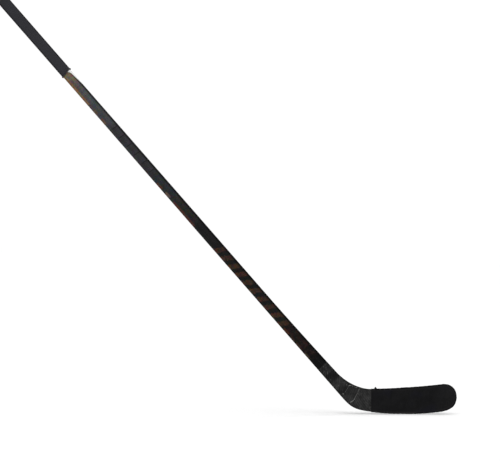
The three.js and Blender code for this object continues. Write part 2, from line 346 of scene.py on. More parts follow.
def fullRings(cuts, inset, **steps):
    # whole cuts, up the forehand side and down the backhand side, with metres and turns round them
    front = sideRows(cuts, inset, -1, **steps)
    back = sideRows(cuts, inset, 1, **steps)
    upFront, upBack = ringAround(front), ringAround(back)
    around = np.concatenate([upFront, -upBack[:, ::-1]], 1)
    girth = np.maximum(upFront[:, -1:], weldGap)
    turn = np.concatenate([upFront / girth / 2, 1 - upBack[:, ::-1] / girth / 2], 1)
    return np.concatenate([front, back[:, ::-1]], 1), around, turn


def wrapFaces(cutCount, pointCount, first=0, flip=False):
    faces = []
    for cut in range(cutCount - 1):
        for point in range(pointCount):
            after = (point + 1) % pointCount
            a = first + cut * pointCount + point
            b = first + cut * pointCount + after
            quad = [a, b, b + pointCount, a + pointCount]
            faces.append(quad[::-1] if flip else quad)
    return faces


def tubePiece(name, cuts, outerInset, innerInset, closedTip=False, startAt=0.0, pitch=1.0, **steps):
    # windTurn counts turns of a strip that is wound round the piece with this pitch
    outer, around, turn = fullRings(cuts, outerInset, **steps)
    inner, innerAround, _ = fullRings(cuts, innerInset, **steps)
    cutCount, pointCount = outer.shape[:2]
    shift = cutCount * pointCount
    faces = wrapFaces(cutCount, pointCount) + wrapFaces(cutCount, pointCount, shift, True)
    for end in [0] if closedTip else [0, cutCount - 1]:
        for point in range(pointCount):
            after = (point + 1) % pointCount
            a, b = end * pointCount + point, end * pointCount + after
            faces.append([a, b, b + shift, a + shift])
    lengths = (startAt + cutLengths(outer))[:, None] + 0 * around
    windTurn = np.concatenate([lengths / pitch + turn] * 2)
    skin = np.concatenate([np.ones_like(around), np.zeros_like(around)])
    depths = zip(edgeDepths(cuts, outer), edgeDepths(cuts, inner))
    maps = {
        "surfaceMap": (np.concatenate([lengths] * 2), np.concatenate([around, innerAround])),
        "edgeMap": [np.concatenate(pair) for pair in depths],
        "windMap": (windTurn, skin),
    }
    marks = {"windTurn": windTurn, "outside": skin}
    return meshFrom(name, np.concatenate([outer, inner]), faces, maps, marks)


def skinPiece(name, cuts, side, **steps):
    outer = sideRows(cuts, 0.0, side, **steps)
    inner = sideRows(cuts, bladeForm["skin"], side, **steps)
    loop = np.concatenate([outer, inner[:, ::-1]], 1)
    around = np.concatenate([ringAround(outer), ringAround(inner)[:, ::-1]], 1) * -side
    cutCount, pointCount = loop.shape[:2]
    faces = wrapFaces(cutCount, pointCount)
    for point in range(pointCount // 2 - 1):
        faces.append([point, point + 1, pointCount - 2 - point, pointCount - 1 - point])
    maps = {"surfaceMap": (cutLengths(outer)[:, None], around), "edgeMap": edgeDepths(cuts, loop)}
    return meshFrom(name, loop, faces, maps)


def endFaces(cutCount, pointCount, first=0):
    last = first + (cutCount - 1) * pointCount
    return [list(range(first, first + pointCount))[::-1], list(range(last, last + pointCount))]


def solidPiece(name, rings, smoothAngle=35):
    # closed by one face at both ends
    size = rings.shape[:2]
    return meshFrom(name, rings, wrapFaces(*size) + endFaces(*size), smoothAngle=smoothAngle)


def hand(piece, node, material=None):
    # the piece rides on the stick and stands for its node
    if material:
        setFinish(piece, material)
    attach(piece, "root")
    if node:
        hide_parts(node)


class Flow:
    # one output of a node, so that nodes can be written as sums
    def __init__(self, graph, socket):
        self.graph = graph
        self.socket = socket

    def __add__(self, other):
        return self.graph.math("ADD", self, other)

    def __sub__(self, other):
        return self.graph.math("SUBTRACT", self, other)

    def __rsub__(self, other):
        return self.graph.math("SUBTRACT", other, self)

    def __mul__(self, other):
        return self.graph.math("MULTIPLY", self, other)

    def __truediv__(self, other):
        return self.graph.math("DIVIDE", self, other)

    def __rtruediv__(self, other):
        return self.graph.math("DIVIDE", other, self)

    def fraction(self):
        return self.graph.math("FRACT", self)

    def ranged(self, low, high, toLow=0.0, toHigh=1.0, smooth=True):
        kind = "SMOOTHSTEP" if smooth else "LINEAR"
        values = {"Value": self, "From Min": low, "From Max": high, "To Min": toLow, "To Max": toHigh}
        return self.graph.flow("ShaderNodeMapRange", values, "Result", interpolation_type=kind)

    def between(self, low, high, blur):
        return self.ranged(low - blur, low + blur) * self.ranged(high + blur, high - blur)

    def parts(self):
        split = self.graph.add("ShaderNodeSeparateXYZ", {0: self})
        return [Flow(self.graph, socket) for socket in split.outputs]

    def stretch(self, *factors):
        return self.graph.flow("ShaderNodeVectorMath", {0: self, 1: factors}, operation="MULTIPLY")

    def noise(self, scale, detail=3.0, roughness=0.55, output="Fac"):
        values = {"Vector": self, "Scale": scale, "Detail": detail, "Roughness": roughness}
        return self.graph.flow("ShaderNodeTexNoise", values, output)

    def spots(self, scale, low, high):
        # small patches where a fine noise passes a limit
        return self.noise(scale, 2.0).ranged(low, high)

    def ramp(self, stops):
        node = self.graph.add("ShaderNodeValToRGB", {"Fac": self})
        stops = sorted(stops, key=lambda stop: stop[0])
        elements = node.color_ramp.elements
        for _ in stops[2:]:
            elements.new(0.5)
        for element, (place, _) in zip(elements, stops):
            element.position = place
        for element, (place, colour) in zip(elements, stops):
            element.position = place
            element.color = shade(colour)
        return Flow(self.graph, node.outputs["Color"])

    def bump(self, distance, strength, under=None):
        values = {"Height": self, "Distance": distance, "Strength": strength}
        if under:
            values["Normal"] = under
        return self.graph.flow("ShaderNodeBump", values, "Normal")


class Graph:
    def __init__(self, tree):
        self.tree = tree

    def feed(self, socket, value):
        if isinstance(value, Flow):
            value = value.socket
        if isinstance(value, bpy.types.NodeSocket):
            self.tree.links.new(value, socket)
        else:
            socket.default_value = value

    def add(self, kind, inputs=None, **settings):
        node = self.tree.nodes.new(kind)
        for name, value in settings.items():
            setattr(node, name, value)
        for key, value in (inputs or {}).items():
            self.feed(node.inputs[key], value)
        return node

    def flow(self, kind, inputs=None, output=0, **settings):
        return Flow(self, self.add(kind, inputs, **settings).outputs[output])

    def math(self, operation, *values):
        return self.flow("ShaderNodeMath", dict(enumerate(values)), operation=operation)

    def mix(self, part, first, second, mode="MIX"):
        node = self.add("ShaderNodeMix", {0: part}, data_type="RGBA", blend_type=mode)
        for index, value in ((6, first), (7, second)):
            self.feed(node.inputs[index], value if isinstance(value, Flow) else shade(value))
        return Flow(self, node.outputs[2])

    def coats(self, colour, *layers):
        # colours laid over one another, each as far as its cover says
        for cover, tone in layers:
            colour = self.mix(cover, colour, tone)
        return colour

    def grey(self, tone):
        return self.flow("ShaderNodeCombineColor", {0: tone, 1: tone, 2: tone})

    def join(self, *values):
        return self.flow("ShaderNodeCombineXYZ", dict(enumerate(values)))

    def place(self):
        return self.flow("ShaderNodeTexCoord", output="Object")

    def map(self, name):
        return self.flow("ShaderNodeUVMap", output="UV", uv_map=name)

    def mark(self, name):
        return self.flow("GeometryNodeInputNamedAttribute", {"Name": name}, "Attribute", data_type="FLOAT")


class Finish(Graph):
    # a material with its graph, from its first node to its last
    def __init__(self, name, gloss, coat=0.0, coatRoughness=0.2):
        self.material = bpy.data.materials.new(name)
        self.material.use_nodes = True
        super().__init__(self.material.node_tree)
        self.sockets = self.tree.nodes["Principled BSDF"].inputs
        self.sockets["Specular IOR Level"].default_value = gloss
        self.sockets["Coat Weight"].default_value = coat
        self.sockets["Coat Roughness"].default_value = coatRoughness

    def done(self, colour, rough, normal=None):
        self.feed(self.sockets["Base Color"], colour)
        self.feed(self.sockets["Roughness"], rough)
        if normal:
            self.feed(self.sockets["Normal"], normal)
        return self.material


def shade(colour):
    # screen values 0 to 255, or one linear value, as a linear colour
    if isinstance(colour, (int, float)):
        return (colour, colour, colour, 1)
    parts = [value / 255 for value in colour]
    linear = [part / 12.92 if part <= 0.04045 else ((part + 0.055) / 1.055) ** 2.4 for part in parts]
    return (*linear, 1)


def dimmed(colour, factor):
    return tuple(value * factor for value in colour)


def setFinish(piece, material):
    piece.data.materials.clear()
    piece.data.materials.append(material)


def newTree(name, **sockets):
    # a geometry tree with named inputs: its graph, and a flow from every input
    tree = bpy.data.node_groups.new(name, "GeometryNodeTree")
    for label, kind in {"Geometry": "Geometry", **sockets, "material": "Material"}.items():
        tree.interface.new_socket(label, in_out="INPUT", socket_type="NodeSocket" + kind)
    tree.interface.new_socket("Geometry", in_out="OUTPUT", socket_type="NodeSocketGeometry")
    graph = Graph(tree)
    outputs = graph.add("NodeGroupInput").outputs
    return graph, {socket.name: Flow(graph, socket) for socket in outputs if socket.name}


def endTree(graph, geometry, given):
    whole = graph.flow("GeometryNodeRealizeInstances", {"Geometry": geometry})
    painted = graph.flow("GeometryNodeSetMaterial", {"Geometry": whole, "Material": given["material"]})
    graph.add("NodeGroupOutput", {"Geometry": painted})
    return graph.tree


def grow(carrier, tree, **values):
    # runs the tree on the carrier and keeps the result as the carrier's own mesh
    modifier = carrier.modifiers.new("grow", "NODES")
    modifier.node_group = tree
    for socket in tree.interface.items_tree:
        if socket.in_out == "INPUT" and socket.name in values:
            modifier[socket.identifier] = values[socket.name]
    around = bpy.context.evaluated_depsgraph_get()
    evaluated = carrier.evaluated_get(around)
    mesh = bpy.data.meshes.new_from_object(evaluated, preserve_all_data_layers=True, depsgraph=around)
    carrier.modifiers.clear()
    rough = carrier.data
    carrier.data = mesh
    mesh.name = carrier.name
    bpy.data.meshes.remove(rough)
    setFinish(carrier, values["material"])
    print("grown", carrier.name, "to", len(mesh.polygons), "faces")


shaftLook = {
    "lip": 0.0004,  # how far the lower rim is eased where it meets the neck
    "cutCounts": (60, 110),  # below and above the start of its taper
    "fibreScale": (40, 2600, 2600),
    "scratchScale": (16, 900, 900),
    "scratch": (84, 83, 82),
    "chip": (96, 92, 88),
    "bandPitch": 0.03023,  # copper bands down the lower shaft
    "bandFrom": 0.005,
    "bandLean": 0.65,  # how far a band moves down the shaft for each metre to the front
    "bandZone": (0.328, 0.627),
    "bandCopper": (66, 45, 34),
    "brownZone": (0.212, 0.332),  # worn patches above the fuse
    "brown": (40, 27, 23),
    "barPitch": 0.0316,  # plain dark bars on the upper shaft, with a cool panel above each
    "barFrom": 0.0173,
    "barLean": 0.12,
    "barZone": (0.890, 1.064),
    "barTone": (20, 20, 22),
    "panelTone": (53, 50, 58),
    # painted shade on the two narrow faces
    "narrowShadeTone": (20, 20, 21),
    "paintedGlare": [(1.209, 0.0), (1.221, 0.0010), (1.2585, 0.0045), (1.264, 0.0088)],  # where, how wide: a pale painted highlight on the front corner
    "paintedGlareTone": (226, 227, 226),
    "paintedGlareLine": (30, 32, 32),
    "paintedGlareDepth": (-0.0030, -0.0046),  # it stays on the forehand side
    "ground": [
        (1.268, (112, 96, 82)), (1.255, (118, 106, 92)), (1.235, (98, 90, 82)), (1.200, (80, 80, 80)),
        (1.165, (74, 76, 80)), (1.110, (68, 68, 72)), (1.070, (61, 62, 65)), (1.055, (52, 52, 54)),
        (0.894, (47, 47, 49)), (0.877, (44, 48, 51)), (0.812, (43, 46, 48)), (0.790, (43, 41, 39)),
        (0.716, (39, 38, 37)), (0.708, (28, 28, 29)), (0.632, (26, 26, 26)), (0.618, (25, 25, 24)),
        (0.345, (24, 24, 22)), (0.322, (24, 19, 17)), (0.222, (17, 13, 12)), (0.207, (8, 8, 8)),
        (0.178, (9, 9, 9)),
    ],
    "tint": [  # how strong the pearl tints are
        (1.268, 0.42), (1.180, 0.36), (1.100, 0.26), (1.060, 0.14), (0.894, 0.14), (0.878, 0.4),
        (0.716, 0.5), (0.706, 0.12), (0.632, 0.12), (0.618, 0.5), (0.215, 0.4), (0.205, 0.0),
    ],
    "trim": [  # copper paint on the rear corner: from, to, how wide, colour
        (1.157, 1.270, 0.0074, (124, 92, 62)),
        (1.122, 1.138, 0.0086, (94, 74, 62)),
        (1.086, 1.104, 0.0082, (90, 68, 58)),
        (0.846, 0.866, 0.0070, (78, 52, 42)),
        (0.812, 0.831, 0.0084, (92, 75, 68)),
        (0.708, 0.797, 0.0078, (72, 42, 36)),
        (0.307, 0.328, 0.0076, (70, 41, 25)),
        (0.282, 0.296, 0.0066, (52, 34, 29)),
        (0.256, 0.271, 0.0070, (56, 40, 31)),
        (0.222, 0.238, 0.0066, (54, 48, 38)),
    ],
    "tone": [  # from the rear edge to the front edge, darker towards both corners: painted shade on the rounded corners, with black paint as well on the front one
        (0.00, 0.72), (0.07, 1.04), (0.21, 1.04), (0.29, 0.86), (0.42, 0.90), (0.60, 1.02),
        (0.74, 1.00), (0.80, 0.84), (0.85, 0.42), (0.885, 0.14), (1.00, 0.08),
    ],
}


def alongRamp(along, stops):
    # values or colours by distance up the shaft
    low, high = shaftForm["fuseLine"], shaftForm["gripStart"]
    part = along.ranged(low, high, smooth=False)
    return part.ramp([((spot - low) / (high - low), value) for spot, value in stops])


def alongValue(along, stops):
    return along.graph.flow("ShaderNodeRGBToBW", {0: alongRamp(along, stops)})


def copperBands(place, along, across, part):
    # slanted bands with wavy edges, fading towards the front
    look = shaftLook
    wave = (place.noise(150.0) - 0.5) * 0.5
    lean = across * look["bandLean"] + (along - look["bandFrom"])
    saw = (lean / look["bandPitch"] + wave + 0.5).fraction()
    band = place.graph.math("ABSOLUTE", saw - 0.5).ranged(0.31, 0.19)
    fade = part.ranged(0.20, 0.95, 1.0, 0.66)
    uneven = place.noise(120.0).ranged(0.35, 0.6, 0.55, 1.0)
    return band * fade * along.between(*look["bandZone"], 0.003) * uneven


def barCoats(along, across, part):
    # plain bars across the middle of the face, with a cool panel above each
    look = shaftLook
    lean = across * look["barLean"] + (along - look["barFrom"])
    phase = (lean / look["barPitch"]).fraction()
    inside = along.between(*look["barZone"], 0.001) * part.between(0.20, 0.80, 0.02)
    panel = inside * phase.between(0.10, 0.40, 0.08) * 0.7
    bar = inside * phase.between(-0.1, 0.085, 0.02) * 0.6
    return (panel, look["panelTone"]), (bar, look["barTone"])


def paintedGlareCoats(along, front, depth, ragged):
    # a painted highlight: a pale patch on the front corner below the grip that stands in for glare, with a
    # dark line beside it
    look = shaftLook
    inside = alongValue(along, look["paintedGlare"]) - front - ragged * 0.3
    beside = along.ranged(1.205, 1.225) * inside.between(-0.0014, 0.0, 0.0003)
    paintedGlare = inside.ranged(-0.0003, 0.0007) * depth.ranged(*look["paintedGlareDepth"])
    return (beside * 0.5, look["paintedGlareLine"]), (paintedGlare, look["paintedGlareTone"])


def shaftFinish():
    look = shaftLook
    graph = Finish("shaftLaminate", gloss=0.06, coat=0.03)
    along = graph.map("surfaceMap").parts()[0]
    rear, front, _ = graph.map("edgeMap").parts()
    part = rear / (rear + front)  # 0 at the rear edge, 1 at the front edge
    across = rear - shaftForm["halfWidth"]
    depth = graph.place().parts()[1]
    place = graph.join(along, across, depth)
    patches = place.noise(55.0, 4.0)
    specks = place.noise(420.0, 3.0, 0.7)

    brown = along.between(*look["brownZone"], 0.005) * place.stretch(1, 0.8, 1).noise(95.0).ranged(0.46, 0.58)
    colour = graph.coats(
        alongRamp(along, look["ground"]),
        (copperBands(place, along, across, part), look["bandCopper"]),
        (brown * 0.85, look["brown"]),
        *barCoats(along, across, part),
    )

    pearl = place.stretch(0.7, 1, 1)
    hues = graph.mix(0.36, pearl.noise(260.0, 2.0, output="Color"), pearl.noise(110.0, 1.0, output="Color"))
    vivid = graph.flow("ShaderNodeHueSaturation", {"Saturation": 3.4, "Value": 1.04, "Color": hues})
    colour = graph.mix(alongValue(along, look["tint"]), colour, vivid, "OVERLAY")

    ragged = (specks - 0.5) * 0.006
    depthIn = rear + ragged + (patches - 0.5) * 0.008
    for low, high, width, trim in look["trim"]:
        near = depthIn.ranged(width + 0.0014, width - 0.0026)
        colour = graph.mix(near * along.between(low, high, 0.0022) * 0.92, colour, trim)
    sparkle = graph.mix(0.35, colour, vivid, "OVERLAY")
    colour = graph.mix(rear.ranged(0.008, 0.004), colour, sparkle)

    # painted shade: the face darkens towards both corners, most of all the front one, which is also black
    # paint
    colour = graph.mix(1.0, colour, part.ramp(look["tone"]), "MULTIPLY")
    # painted shade: the two narrow faces are darkened
    narrow = graph.math("MAXIMUM", part.ranged(0.03, 0.004), part.ranged(0.97, 0.996))
    colour = graph.coats(
        colour, (narrow * 0.55, look["narrowShadeTone"]), *paintedGlareCoats(along, front, depth, ragged)
    )

    fibres = place.stretch(*look["fibreScale"]).noise(1.0, 2.0)
    grain = specks.ranged(0.25, 0.75, 0.66, 1.34) + patches.ranged(0.3, 0.7, -0.12, 0.12)
    colour = graph.mix(1.0, colour, graph.grey(grain + fibres.ranged(0.2, 0.8, -0.08, 0.08)), "MULTIPLY")
    scratches = place.stretch(*look["scratchScale"]).noise(1.0, 1.0).ranged(0.70, 0.74)
    corners = graph.math("MAXIMUM", part.between(0.005, 0.085, 0.01), part.between(0.915, 0.995, 0.01))
    chips = corners * place.spots(260.0, 0.68, 0.71)
    colour = graph.coats(colour, (scratches * 0.25, look["scratch"]), (chips * 0.5, look["chip"]))
    rough = patches.ranged(0.2, 0.8, 0.30, 0.44) + (scratches * 0.2 + chips * 0.3)
    hollow = graph.math("MAXIMUM", scratches, chips) * -1.0
    return graph.done(colour, rough, hollow.bump(0.00012, 0.8, fibres.bump(0.00003, 0.5)))


def makeShaft():
    form, lip = shaftForm, shaftLook["lip"]
    top = buttEnd - capLook["head"] - gripLook["gap"]
    spots = np.concatenate([
        [form["fuseLine"]],
        np.linspace(form["fuseLine"] + lip, form["taperStart"], shaftLook["cutCounts"][0]),
        np.linspace(form["taperStart"], top, shaftLook["cutCounts"][1])[1:],
    ])
    outset = np.where(spots > form["fuseLine"], 0.0, lip)
    piece = tubePiece("shaftTube", shaftCuts(spots), outset, form["wall"], startAt=spots[0])
    hand(piece, "shaft_tube", shaftFinish())


heelLook = {
    "tow": 0.0021,
    "bands": [  # laid-up plies seen along the neck, by distance from the ice
        (0.1790, (10, 10, 10)), (0.1765, (31, 31, 31)), (0.1540, (32, 32, 32)), (0.1490, (20, 20, 20)),
        (0.1275, (22, 22, 22)), (0.1225, (38, 38, 38)), (0.1060, (46, 46, 46)), (0.0970, (34, 34, 34)),
        (0.0910, (25, 25, 25)), (0.0830, (29, 29, 29)), (0.0760, (38, 38, 38)), (0.0300, (40, 40, 40)),
        (0.0000, (38, 38, 38)),
    ],
    "worn": (-0.128, -0.108),
    "wornTone": (42, 42, 42),
    "scuff": (104, 103, 100),
    "cutCounts": (12, 80, 60, 40),  # neck, heel, blade and toe
}


def twill(graph, cloth, tow):
    # two over, two under: which set of tows lies on top, and the height of its crown
    column, row, _ = cloth.stretch(1 / tow, 1 / tow, 1).parts()
    cell = graph.math("FLOOR", column) + graph.math("FLOOR", row)
    warp = graph.math("LESS_THAN", (cell / 4.0).fraction(), 0.45)
    centred = [line.fraction() - 0.5 for line in (column, row)]
    crowns = [1.0 - line * line * 4.0 for line in centred]
    return warp, warp * crowns[0] + (1.0 - warp) * crowns[1]


def carbonFinish():
    look = heelLook
    graph = Finish("bladeCarbon", gloss=0.07, coat=0.03, coatRoughness=0.22)
    place = graph.place()
    x, _, height = place.parts()
    along = (x - float(axisFoot[0])) * float(shaftUp[0]) + height * float(shaftUp[1])
    blotches = place.noise(84.0, 4.0, 0.6)
    fine = place.noise(430.0, 3.0, 0.7)
    wander = (blotches - 0.5) * 0.010 + along
    top = look["bands"][0][0]
    colour = wander.ranged(0.0, top, smooth=False).ramp([(spot / top, tone) for spot, tone in look["bands"]])
    colour = graph.mix(x.ranged(*look["worn"], 0.0, 0.6), colour, look["wornTone"])
    warp, crown = twill(graph, graph.map("surfaceMap"), look["tow"])
    # painted sheen: tows on top one way are lighter than the others, and painted shade darkens each tow off
    # its crown
    tone = warp.ranged(0, 1, 0.66, 1.32) * crown.ranged(0, 1, 0.80, 1.06)
    tone = tone * (blotches.ranged(0.3, 0.7, 0.60, 1.42) * fine.ranged(0.25, 0.75, 0.62, 1.40))
    # painted shade: the skin darkens to 15% within a few millimetres of its low and high edges
    for edge in graph.map("edgeMap").parts()[:2]:
        tone = tone * edge.ranged(0.0012, 0.0040, 0.15, 1.0)
    colour = graph.mix(1.0, colour, graph.grey(tone), "MULTIPLY")
    scuffs = place.stretch(1, 1, 0.4).spots(360.0, 0.63, 0.70)
    colour = graph.mix(scuffs * 0.34, colour, look["scuff"])
    rough = blotches.ranged(0.2, 0.8, 0.34, 0.50) + scuffs * 0.2
    return graph.done(colour, rough, scuffs.bump(0.00005, 0.5, crown.bump(0.00008, 0.6)))


def makeSkins():
    # both skins, of which the forehand one carries the outline
    neckCuts, *counts = heelLook["cutCounts"]
    neck = shaftCuts(np.linspace(shaftForm["fuseLine"] - weldGap, shaftForm["neckEnd"], neckCuts))
    runs = [np.linspace(run, run + 1, count)[1:] for run, count in enumerate(counts)]
    cuts = joinCuts(neck, bladeCuts(np.concatenate(runs)))
    finish = carbonFinish()
    skins = [skinPiece("bladeForehandSkin", cuts, -1), skinPiece("bladeBackhandSkin", cuts, 1)]
    hand(skins[0], "blade_forehand_skin", finish)
    hand(skins[1], "blade_backhand_skin", finish)
    return skins[0]


outlineLook = {
    "thick": 0.00012,
    "sunk": 0.0001,
    "edgeWander": 0.00035,
    "stepsPerCorner": 9,
    "ahead": 0.03,  # how far in front of the skin the strips are made
    "paint": (138, 138, 136),
    "rubbed": (70, 70, 69),
    "seed": 7,
    "strokes": [  # width, then the corners of its path as X and Z
        (0.0007, [
            (-0.1560, 0.0786), (-0.1578, 0.0735), (-0.1600, 0.0688), (-0.1640, 0.0628), (-0.1662, 0.0606),
        ]),
        (0.0015, [(-0.1562, 0.0784), (-0.1520, 0.0800), (-0.1474, 0.0802)]),
        (0.0008, [(-0.1469, 0.0801), (-0.1412, 0.0778), (-0.1340, 0.0744), (-0.1300, 0.0736)]),
        (0.0008, [
            (-0.1172, 0.0708), (-0.1212, 0.0722), (-0.1246, 0.0724), (-0.1262, 0.0680), (-0.1300, 0.0598),
        ]),
        (0.0010, [(-0.1303, 0.0592), (-0.1352, 0.0494), (-0.1396, 0.0408), (-0.1428, 0.0376)]),
        (0.0023, [(-0.1424, 0.0380), (-0.1450, 0.0358), (-0.1482, 0.0340), (-0.1512, 0.0328)]),
        (0.0022, [(-0.1716, 0.0576), (-0.1704, 0.0562), (-0.1698, 0.0552)]),
        (0.0014, [(-0.1620, 0.0828), (-0.1604, 0.0820), (-0.1596, 0.0814)]),
    ],
}


def pressTree():
    # drops every point along +Y onto the target, then lifts it by its own mark
    graph, given = newTree("pressOn", target="Object")
    target = graph.add("GeometryNodeObjectInfo", {"Object": given["target"]}, transform_space="ORIGINAL")
    hit = graph.add("GeometryNodeRaycast", {
        "Target Geometry": target.outputs["Geometry"],
        "Source Position": graph.flow("GeometryNodeInputPosition"),
        "Ray Direction": graph.join(0.0, 1.0),
        "Ray Length": 1.0,
    }).outputs
    moved = graph.flow("GeometryNodeSetPosition", {
        "Geometry": given["Geometry"],
        "Selection": hit["Is Hit"],
        "Position": hit["Hit Position"],
        "Offset": graph.join(0.0, graph.mark("lift") * -1.0),
    })
    return endTree(graph, moved, given)


def smoothPath(corners, steps):
    # a round path through the corners, as a Catmull-Rom curve
    corners = np.array(corners)
    knots = np.concatenate([[2 * corners[0] - corners[1]], corners, [2 * corners[-1] - corners[-2]]])
    t = np.linspace(0, 1, steps, endpoint=False)[:, None]
    runs = []
    for before, start, end, after in zip(knots, knots[1:], knots[2:], knots[3:]):
        runs.append(0.5 * (
            2 * start + (end - before) * t
            + (2 * before - 5 * start + 4 * end - after) * t**2
            + (3 * start - 3 * end + after - before) * t**3
        ))
    return np.concatenate(runs + [corners[-1:]])


def paintFinish():
    look = outlineLook
    graph = Finish("outlinePaint", gloss=0.2)
    place = graph.place()
    rubbed = place.noise(600.0).ranged(0.40, 0.62)
    return graph.done(
        graph.mix(rubbed, look["paint"], look["rubbed"]), 0.55, place.noise(1500.0).bump(0.00004, 0.5)
    )


def makeOutline(skin):
    # strips that lie flat in front of the heel and are then pressed onto it
    look = outlineLook
    rng = np.random.default_rng(look["seed"])
    section = [1, 0.6, -0.6, -1, 0]  # the corners of a strip's cut, across it and above the skin
    heights = [-look["sunk"] / 4, look["thick"], look["thick"], -look["sunk"] / 4, -look["sunk"]]
    points, lifts, faces = [], [], []
    for width, corners in look["strokes"]:
        path = smoothPath(corners, look["stepsPerCorner"])
        ways = unit(np.gradient(path, axis=0))
        sideways = np.stack([-ways[:, 1], ways[:, 0]], -1)
        steps = np.arange(len(path))
        taper = np.sqrt(np.clip(np.minimum(steps + 0.6, len(path) - steps) / 4, 0, 1))
        half = (width / 2 + rng.uniform(-1, 0.4, len(path)) * look["edgeWander"] / 2) * taper
        faces += wrapFaces(len(path), 5, len(lifts)) + endFaces(len(path), 5, len(lifts))
        for middle, side, reach in zip(path, sideways, half):
            for across, height in zip(section, heights):
                x, z = middle + side * reach * across
                points.append((x, -look["ahead"] - height, z))
                lifts.append(height)
    points = np.array(points)[:, None]
    piece = meshFrom("heelOutline", points, faces, marks={"lift": np.array(lifts)[:, None]})
    grow(piece, pressTree(), target=skin, material=paintFinish())
    hand(piece, None)


tapeLook = {
    "pitch": 0.0125,
    "outer": 0.0007,  # its two faces above the bare blade, before it is wound
    "inner": 0.0001,
    "winding": {"layer": 0.00042, "wrinkle": 0.00022, "wrinkleSize": 0.011, "fold": 0.0009},
    "cutCounts": (250, 80),  # blade and toe
    "rungSteps": 24,
    "thread": 0.00052,
    "colour": (23, 23, 24),
    "wornSheenBlue": 6,  # how much bluer its worn patches are, a painted sheen
    "frayed": (52, 52, 52),  # lint along the laid edge of every turn
    "fleck": (66, 66, 66),
    # lint with a painted highlight a little inside both edges, and rim: painted shade, a dark line along both
    # edges
    "nearRimLintAndHighlight": (48, 48, 48),
    "rim": (8, 8, 9),
    "toeLint": (56, 56, 56),
    "wornRun": (-0.055, 0.033),  # where the sole is rubbed, along X
    "wornTone": (66, 65, 64),
    "yarn": {"count": 150, "length": 0.0028, "thick": 0.00005, "seed": 3},
    "puckers": {"size": 0.012, "top": 0.0012, "toe": (0.100, 0.043), "toeReach": 0.028},
}


def clothFinish(name, colour, worn=True):
    look = tapeLook
    graph = Finish(name, gloss=0.06)
    place = graph.place()
    x = place.parts()[0]
    turn = 2 * math.pi / look["thread"]
    warp, weft = (graph.math("SINE", line * turn) for line in graph.map("surfaceMap").parts()[:2])
    weave = warp * weft
    layer = graph.map("windMap").parts()[0].fraction()
    lint = place.noise(900.0)
    low, high, _ = graph.map("edgeMap").parts()
    rim = graph.math("MINIMUM", low, high)
    dark, light = dimmed(colour, 0.86), dimmed(colour, 1.14)
    tone = graph.coats(
        graph.mix(place.noise(34.0, 4.0).ranged(0.3, 0.7), dark, light),
        (weave.ranged(-1, 1, 0.0, 0.35), dark),
        # worn patches with a painted bluish sheen
        (place.noise(21.0, 1.0).ranged(0.52, 0.66, 0.0, 0.5), (*colour[:2], colour[2] + look["wornSheenBlue"])),
        (layer.ranged(0.10, 0.0) * lint.ranged(0.45, 0.6) * 0.30, look["frayed"]),
        (place.spots(620.0, 0.70, 0.76) * 0.35, look["fleck"]),
        # lint and a painted highlight a little inside both edges, then painted shade along the edges
        (rim.between(0.0034, 0.0060, 0.0010) * lint.ranged(0.35, 0.6) * 0.22, look["nearRimLintAndHighlight"]),
        (rim.ranged(0.0030, 0.0008, 0.0, 0.8), look["rim"]),
    )
    if worn:
        run = x.between(*look["wornRun"], 0.008)
        tone = graph.coats(
            tone,
            (x.ranged(0.075, 0.125) * lint.ranged(0.42, 0.62) * 0.20, look["toeLint"]),
            (low.ranged(0.0052, 0.0030) * run * lint.ranged(0.3, 0.6) * 0.4, look["wornTone"]),
        )
    rough = lint.ranged(0.2, 0.8, 0.82, 0.98)
    return graph.done(tone, rough, lint.bump(0.00008, 0.5, weave.bump(0.00010, 0.6)))


def windingTree():
    # lays the exposed edge of every turn over the turn before it, with wrinkles and folds
    graph, given = newTree("tapeWinding", layer="Float", wrinkle="Float", wrinkleSize="Float", fold="Float")
    where = graph.flow("GeometryNodeInputPosition")
    steps = (1.0 - graph.mark("windTurn").fraction()) * given["layer"]
    wrinkles = (where.noise(1.0 / given["wrinkleSize"], 3.0, 0.5) - 0.5) * given["wrinkle"]
    creases = where.noise(260.0, 1.0, 0.5).ranged(0.45, 0.62)
    folds = creases * graph.mark("foldPlace") * given["fold"]
    lift = (steps + wrinkles + folds) * graph.mark("outside")
    values = {0: graph.flow("GeometryNodeInputNormal"), "Scale": lift}
    offset = graph.flow("ShaderNodeVectorMath", values, operation="SCALE")
    moved = graph.flow("GeometryNodeSetPosition", {"Geometry": given["Geometry"], "Offset": offset})
    return endTree(graph, moved, given)


def pointsOf(piece):
    places = np.zeros(len(piece.data.vertices) * 3)
    piece.data.vertices.foreach_get("co", places)
    return places.reshape(-1, 3)


def tapeFolds(x, z):
    # small puckers on the top edge above the middle and round the toe
    puckers = tapeLook["puckers"]
    above = np.clip((z - topHeight(x) + puckers["top"]) / puckers["top"], 0, 1)
    onTop = above * np.exp(-((x / puckers["size"]) ** 2))
    toeX, toeZ = puckers["toe"]
    past = np.hypot(x - toeX, z - toeZ) - puckers["toeReach"]
    roundToe = np.clip((x - toeX) / puckers["size"], 0, 1) * np.clip(past / puckers["size"], 0, 1)
    return np.maximum(onTop, 0.35 * roundToe)


def makeBladeTape(winding, finish):
    look = tapeLook
    blade, toe = look["cutCounts"]
    cuts = bladeCuts(np.concatenate([np.linspace(1, 2, blade), np.linspace(2, 3, toe)[1:]]))
    steps = {"pitch": look["pitch"], "rungSteps": look["rungSteps"]}
    piece = tubePiece("bladeTape", cuts, -look["outer"], -look["inner"], True, **steps)
    x, _, z = pointsOf(piece).T
    addMark(piece.data, "foldPlace", tapeFolds(x, z))
    grow(piece, winding, **look["winding"], material=finish)
    hand(piece, "blade_tape")


